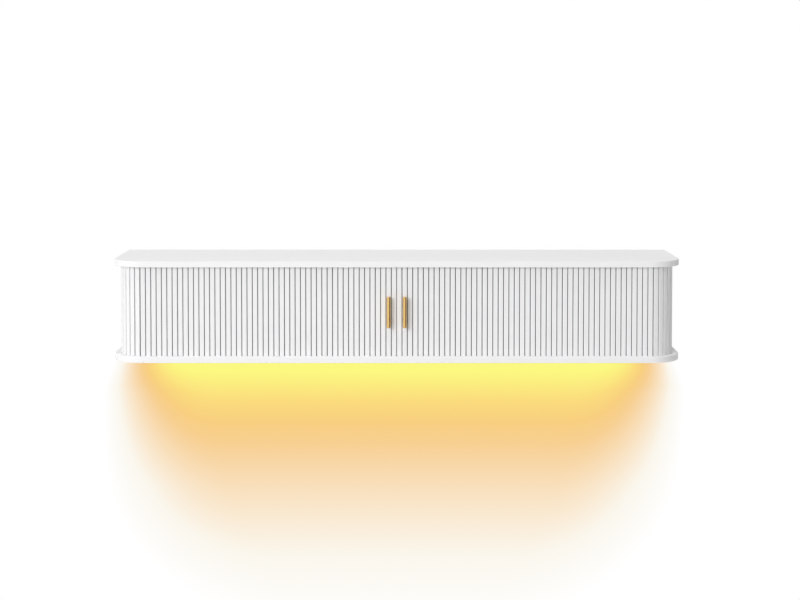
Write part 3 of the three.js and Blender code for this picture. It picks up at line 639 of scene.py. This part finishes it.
slat_pitch, slat_width, slat_thickness, slat_round = 16.82, 14.52, 5.4, 1.5
slat_low, slat_high = -208.88, 85.12
canvas_thickness, canvas_step = 0.6, 4
pitch_inset = slat_thickness + canvas_thickness / 2
pitch_radius = tambour_radius - pitch_inset
straight_end = tambour_half - tambour_radius
corner_end = straight_end + pitch_radius * math.pi / 2
side_end = corner_end + tambour_front - tambour_rear - 2 * tambour_radius


def path_place(along):
    """The point on the doors' path, and the turn there, so far from the middle along the canvas."""
    if along <= straight_end:
        return along, pitch_inset - tambour_front, 0
    if along <= corner_end:
        turn = (along - straight_end) / pitch_radius
        return (straight_end + pitch_radius * math.sin(turn),
                tambour_radius - tambour_front - pitch_radius * math.cos(turn), turn)
    if along <= side_end:
        return (tambour_half - pitch_inset,
                tambour_radius - tambour_front + along - corner_end, math.pi / 2)
    turn = math.pi / 2 + (along - side_end) / pitch_radius
    return (straight_end + pitch_radius * math.sin(turn),
            -tambour_rear - tambour_radius - pitch_radius * math.cos(turn), turn)


slat_pattern = block("slat_pattern", (-slat_width / 2, -pitch_inset, slat_low),
                     (slat_width / 2, 0, slat_high))
rounded(slat_pattern, slat_round, 3, lambda points: upright(points) and points[0].y < -1)
slat_pattern.data.materials.append(slats_finish)


def tambour(name, first, end, start_reach, end_reach):
    """A stretch of tambour on the right: slats from one count to another, and the canvas behind them."""
    joined = []
    for count in range(first, end):
        x, y, turn = path_place((count + 0.5) * slat_pitch)
        joined.append(placed(copied(slat_pattern, "slat"), "slat", turn=(0, 0, turn), place=(x, y, 0)))
    start = first * slat_pitch + (slat_pitch - slat_width) / 2 - start_reach
    finish = end * slat_pitch - (slat_pitch - slat_width) / 2 + end_reach
    steps = max(2, math.ceil((finish - start) / canvas_step)) if finish > straight_end else 2
    ways = [path_place(start + (finish - start) * i / steps)[:2] for i in range(steps + 1)]
    bpy.ops.mesh.primitive_plane_add(size=1)
    canvas = placed(bpy.context.object, name, turn=(math.pi / 2, 0, 0))
    pick(canvas, "VERT", lambda points: points[0].x > 0)
    bpy.ops.mesh.delete(type="VERT")
    bpy.ops.object.mode_set(mode="OBJECT")
    for vertex in canvas.data.vertices:
        vertex.co = Vector((*ways[0], slat_high if vertex.co.z > 0 else slat_low)) * mm
    pick(canvas, "EDGE", upright)
    for (x0, y0), (x1, y1) in zip(ways, ways[1:]):
        step = ((x1 - x0) * mm, (y1 - y0) * mm, 0)
        bpy.ops.mesh.extrude_edges_move(TRANSFORM_OT_translate={"value": step})
    bpy.ops.mesh.select_all(action="SELECT")
    bpy.ops.mesh.normals_make_consistent(inside=False)
    bpy.ops.object.mode_set(mode="OBJECT")
    modifier = canvas.modifiers.new("thick", "SOLIDIFY")
    modifier.thickness = canvas_thickness * mm
    modifier.offset = 0
    only(canvas)
    bpy.ops.object.modifier_apply(modifier=modifier.name)
    # The canvas takes the near-black finish, which is painted shade for the gaps.
    canvas.data.materials.append(canvas_painted_gap_shade)
    only(canvas)
    for slat in joined:
        slat.select_set(True)
    bpy.ops.object.join()
    return canvas


# Each stretch: its first and last slat pitch, counted from the middle, and how far its canvas reaches
# past its slats at both ends. An open door's front slats gather into one of their 45 pitches.
lead_pitches, front_pitches, corner_pitches, side_pitches = 2, 47, 55, 64
stretches = {
    "front_slats": (lead_pitches, front_pitches, 2, 1),
    "corner_slats": (front_pitches, corner_pitches, 1, 1),
    "side_slats": (corner_pitches, side_pitches, 1, 1),
}
for node, (first, end, start_reach, end_reach) in stretches.items():
    right = tambour("right_" + node + "_on_canvas", first, end, start_reach, end_reach)
    left = copied(right, "left_" + node + "_on_canvas")
    placed(left, left.name, flip=True)
    for piece, word, side in ((right, "right", 1), (left, "left", -1)):
        finished(piece, slats_finish, "lacquered_slats", "console", f"{word}_{node}")
        if node == "front_slats":
            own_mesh(piece)
bpy.data.objects.remove(slat_pattern)

# Lead rails: the stiff meeting edges of the doors, two slats wide in front and 14 mm thick between the
# grooves, sprayed like the slats.
lead_thickness, lead_inner, lead_outer = 14, 0.95, 32.49
seam, seam_half, seam_depth = 16.82, 1.15, 4.5
lead_front, lead_back = -tambour_front, lead_thickness - tambour_front
tongue = 7
handle_place, handle_posts = 25.23, {"lower": -93.88, "upper": -29.88}
toward_wall = (-math.pi / 2, 0, 0)
for word, side in (("right", 1), ("left", -1)):
    rail = block(word + "_meeting_rail", (lead_inner, lead_front, slat_low),
                 (lead_outer, lead_back, slat_high))
    cut(rail, block("seam", (seam - seam_half, lead_front - past, slat_low - past),
                    (seam + seam_half, lead_front + seam_depth, slat_high + past)))
    for low, high in ((slat_low - past, slat_low + tongue), (slat_high - tongue, slat_high + past)):
        cut(rail, block("rebate", (-past, lead_front + curtain_thickness, low),
                        (lead_outer + past, 0, high)))
    rounded(rail, slat_round, 3, lambda points: upright(points) and points[0].y < lead_front + 0.5)
    rail.data.materials.append(slats_finish)
    rail.data.materials.append(canvas_painted_gap_shade)
    # The floor of the seam takes the near-black canvas finish: painted shade, so that the seam reads as a
    # dark gap line.
    seam_floor = lead_front + seam_depth
    pick(rail, "FACE", lambda points: all(abs(point.y - seam_floor) < 0.05 for point in points))
    rail.active_material_index = 1
    bpy.ops.object.material_slot_assign()
    bpy.ops.object.mode_set(mode="OBJECT")
    if side < 0:
        placed(rail, rail.name, flip=True)
    for height in handle_posts.values():
        sink = turned("sink", [(2.1, -30), (2.1, -2.2), (4.2, 0), (4.2, past)], 20)
        cut(rail, placed(sink, "sink", turn=toward_wall, place=(side * handle_place, lead_back, height)))
    finished(rail, slats_finish, "lacquered_slats", word + "_door", word + "_lead_rail")

# Bar handles: 13 mm brass rod, 98 mm long, brushed along its length and lacquered, on two turned posts
# that are screwed from behind.
brass, tree, shader = new_finish("brushed_brass", "#E3BD7E", 0.24, 1)
where = add_node(tree, "ShaderNodeTexCoord").outputs["Object"]
brush = add_node(tree, "ShaderNodeMapping", {"Scale": (2600, 2600, 40)}, {"Vector": where})
lines = add_node(tree, "ShaderNodeTexNoise", {"Scale": 1, "Detail": 3, "Roughness": 0.6},
                 {"Vector": brush.outputs[0]})
line_bump = add_node(tree, "ShaderNodeBump", {"Strength": 0.12, "Distance": 0.00005},
                     {"Height": lines.outputs["Fac"]})
sheen = add_node(tree, "ShaderNodeMapRange", {"To Min": 0.18, "To Max": 0.28},
                 {"Value": lines.outputs["Fac"]})
tree.links.new(line_bump.outputs[0], shader.inputs["Normal"])
tree.links.new(sheen.outputs[0], shader.inputs["Roughness"])

bar_half, bar_radius, bar_axis, handle_middle = 49, 6.5, -351.5, -61.88
post_radius, post_foot, post_end, saddle_clearance = 4, 0.3, 21.5, 0.3
handle_screw = screw("screw_pattern", 4, 8, 2.2, 22, 0.9)
for word, side in (("right", 1), ("left", -1)):
    r = bar_radius
    bar = turned(word + "_bar", [(r - 0.9, -bar_half), (r - 0.35, 0.18 - bar_half), (r, 0.9 - bar_half),
                                 (r, bar_half - 0.9), (r - 0.35, bar_half - 0.18), (r - 0.9, bar_half)], 64)
    placed(bar, bar.name, place=(side * handle_place, bar_axis, handle_middle))
    finished(bar, brass, "brushed_brass", word + "_door", word + "_handle_bar")
    for level, height in handle_posts.items():
        post = turned(f"{word}_post_{level}", [(post_radius, post_foot), (post_radius, post_end)], 40)
        rounded(post, 0.3, 2, lambda points: points[0].z < 1 and points[1].z < 1)
        placed(post, post.name, turn=toward_room, place=(side * handle_place, lead_front, height))
        saddle_radius = bar_radius + saddle_clearance
        saddle = turned("saddle", [(saddle_radius, -40), (saddle_radius, 40)], 64)
        cut(post, placed(saddle, "saddle", place=(side * handle_place, bar_axis, height)))
        finished(post, brass, "brushed_brass", word + "_door", f"{word}_handle_post_{level}")
        fastener = copied(handle_screw, f"{word}_post_screw_{level}")
        placed(fastener, fastener.name, turn=toward_wall, place=(side * handle_place, lead_back, height))
        finished(fastener, zinc, "zinc_steel", word + "_door", f"{word}_handle_screw_{level}")
bpy.data.objects.remove(handle_screw)

# Door stops: small plywood blocks on the inner sides that an opened door meets, each held by one screw
# through its face.
stop_face, stop_back, stop_front, stop_rear, stop_low, stop_high = 772.87, 793.56, -321, -293, 24.12, 54.12
stop_screw_row, stop_screw_height = -312, 39.12
stop_screw = screw("screw_pattern", 3.5, 7, 2, 31, 1.6)
for word, side in (("right", 1), ("left", -1)):
    left, right = sorted((side * stop_face, side * stop_back))
    toward_middle = (0, -side * math.pi / 2, 0)
    screw_place = (side * stop_face, stop_screw_row, stop_screw_height)
    stop = block(word + "_stop", (left, stop_front, stop_low), (right, stop_rear, stop_high))
    rounded(stop, 0.8, 2, lambda points: True)
    sink = turned("sink", [(1.9, -30), (1.9, -2), (3.7, 0), (3.7, past)], 20)
    cut(stop, placed(sink, "sink", turn=toward_middle, place=screw_place))
    finished(stop, plywood, "birch_plywood", "console", word + "_stop_block")
    fastener = copied(stop_screw, word + "_stop_fastener")
    placed(fastener, fastener.name, turn=toward_middle, place=screw_place)
    finished(fastener, zinc, "zinc_steel", "console", word + "_stop_screw")
bpy.data.objects.remove(stop_screw)

# Cable grommets: moulded white rings with a rounded flange, which line the two holes in the false back
# and are fitted from the front.
moulded, tree, shader = new_finish("moulded_white_abs", "#EFEFEC", 0.5, ior=1.53)
where = add_node(tree, "ShaderNodeTexCoord").outputs["Object"]
spark = add_node(tree, "ShaderNodeTexNoise", {"Scale": 1800, "Detail": 2}, {"Vector": where})
spark_bump = add_node(tree, "ShaderNodeBump", {"Strength": 0.25, "Distance": 0.0001},
                      {"Height": spark.outputs["Fac"]})
tree.links.new(spark_bump.outputs[0], shader.inputs["Normal"])
ring_profile = [(22, -9), (24.7, -9), (24.7, 0.3), (28.4, 0.3), (29, 0.9), (29, 2),
                (28.2, 2.8), (23.2, 2.8), (22, 1.8), (22, -9)]
false_back_face, grommet_height = -48, -147.88
for word, x in (("left", -62), ("right", 62)):
    ring = turned(word + "_grommet", ring_profile, 64, closed=True)
    placed(ring, ring.name, turn=toward_room, place=(x, false_back_face, grommet_height))
    finished(ring, moulded, "white_plastic", "console", word + "_cable_grommet")

# Light under the lower board: an extruded channel of anodised aluminium, a white circuit strip with
# its light chips, an opal cover, an end cap, and the socket of the supply. Channel, cap and socket
# keep the frame's own shapes.
anodised, tree, shader = new_finish("anodised_aluminium", "#D3D5D6", 0.4, 1)
where = add_node(tree, "ShaderNodeTexCoord").outputs["Object"]
die = add_node(tree, "ShaderNodeMapping", {"Scale": (20, 2200, 2200)}, {"Vector": where})
die_lines = add_node(tree, "ShaderNodeTexNoise", {"Scale": 1, "Detail": 3}, {"Vector": die.outputs[0]})
die_bump = add_node(tree, "ShaderNodeBump", {"Strength": 0.15, "Distance": 0.00005},
                    {"Height": die_lines.outputs["Fac"]})
tree.links.new(die_bump.outputs[0], shader.inputs["Normal"])
in_finish(anodised, "led_channel")
in_finish(moulded, "led_inlet", "led_end_cap")

circuit, tree, shader = new_finish("white_solder_mask", "#F3EEDE", 0.45)
where = add_node(tree, "ShaderNodeTexCoord").outputs["Object"]
run = add_node(tree, "ShaderNodeSeparateXYZ", None, {0: where}).outputs
# The strip can be cut every 50 mm, at a line of copper pads.
half_cut_pitch, half_pad = 0.025, 0.0012
cut_mark = add_node(tree, "ShaderNodeMath", {"operation": "PINGPONG", 1: half_cut_pitch}, {0: run["X"]})
pads = add_node(tree, "ShaderNodeMath", {"operation": "LESS_THAN", 1: half_pad},
                {0: cut_mark.outputs[0]})
copper = add_node(tree, "ShaderNodeMix",
                  {"data_type": "RGBA", 6: linear("#F3EEDE"), 7: linear("#C98F5E")},
                  {0: pads.outputs[0]})
tree.links.new(copper.outputs[2], shader.inputs["Base Color"])
phosphor, tree, shader = new_finish("yellow_phosphor", "#F4CF4E", 0.35)
where = add_node(tree, "ShaderNodeTexCoord").outputs["Object"]
gel = add_node(tree, "ShaderNodeTexNoise", {"Scale": 900, "Detail": 1}, {"Vector": where})
gel_bump = add_node(tree, "ShaderNodeBump", {"Strength": 0.2, "Distance": 0.0001},
                    {"Height": gel.outputs["Fac"]})
tree.links.new(gel_bump.outputs[0], shader.inputs["Normal"])

light_axis = -75
strip_half, strip_half_width, strip_low, strip_high = 796, 5, -216.38, -215.38
strip = block("circuit_strip", (-strip_half, light_axis - strip_half_width, strip_low),
              (strip_half, light_axis + strip_half_width, strip_high))
rounded(strip, 0.2, 1, lambda points: abs(points[0].x - points[1].x) > 1000)
strip.data.materials.append(circuit)
chip_pitch, chip_margin, chip_half, chip_half_width, chip_low = 12.5, 6, 1.75, 1.4, -217.2
chip_count = int(2 * (strip_half - chip_margin) / chip_pitch) + 1
chip_start = -(chip_count - 1) * chip_pitch / 2
chip = block("chip", (chip_start - chip_half, light_axis - chip_half_width, chip_low),
             (chip_start + chip_half, light_axis + chip_half_width, strip_low))
rounded(chip, 0.3, 1, upright)
chip.data.materials.append(phosphor)
modifier = chip.modifiers.new("row", "ARRAY")
modifier.count = chip_count
modifier.use_relative_offset = False
modifier.use_constant_offset = True
modifier.constant_offset_displace = (chip_pitch * mm, 0, 0)
only(chip)
bpy.ops.object.modifier_apply(modifier=modifier.name)
only(strip)
chip.select_set(True)
bpy.ops.object.join()
finished(strip, circuit, "led_circuit", "console", "led_strip")

opal, tree, shader = new_finish("opal_polycarbonate", "#FFF0CC", 0.45, ior=1.58)
shader.inputs["Emission Color"].default_value = linear("#FFD583")
shader.inputs["Emission Strength"].default_value = 1.6
where = add_node(tree, "ShaderNodeTexCoord").outputs["Object"]
frost = add_node(tree, "ShaderNodeTexNoise", {"Scale": 1500, "Detail": 2}, {"Vector": where})
frost_bump = add_node(tree, "ShaderNodeBump", {"Strength": 0.1, "Distance": 0.0001},
                      {"Height": frost.outputs["Fac"]})
tree.links.new(frost_bump.outputs[0], shader.inputs["Normal"])
cover_half, cover_half_width, cover_top = 800, 7, -220.38
cover = block("opal_cover", (-cover_half, light_axis - cover_half_width, board_underside),
              (cover_half, light_axis + cover_half_width, cover_top))
rounded(cover, 0.5, 3, lambda points: (abs(points[0].x - points[1].x) > 1000
                                       and points[0].z < board_underside + 0.38))
finished(cover, opal, "opal_diffuser", "console", "led_diffuser")
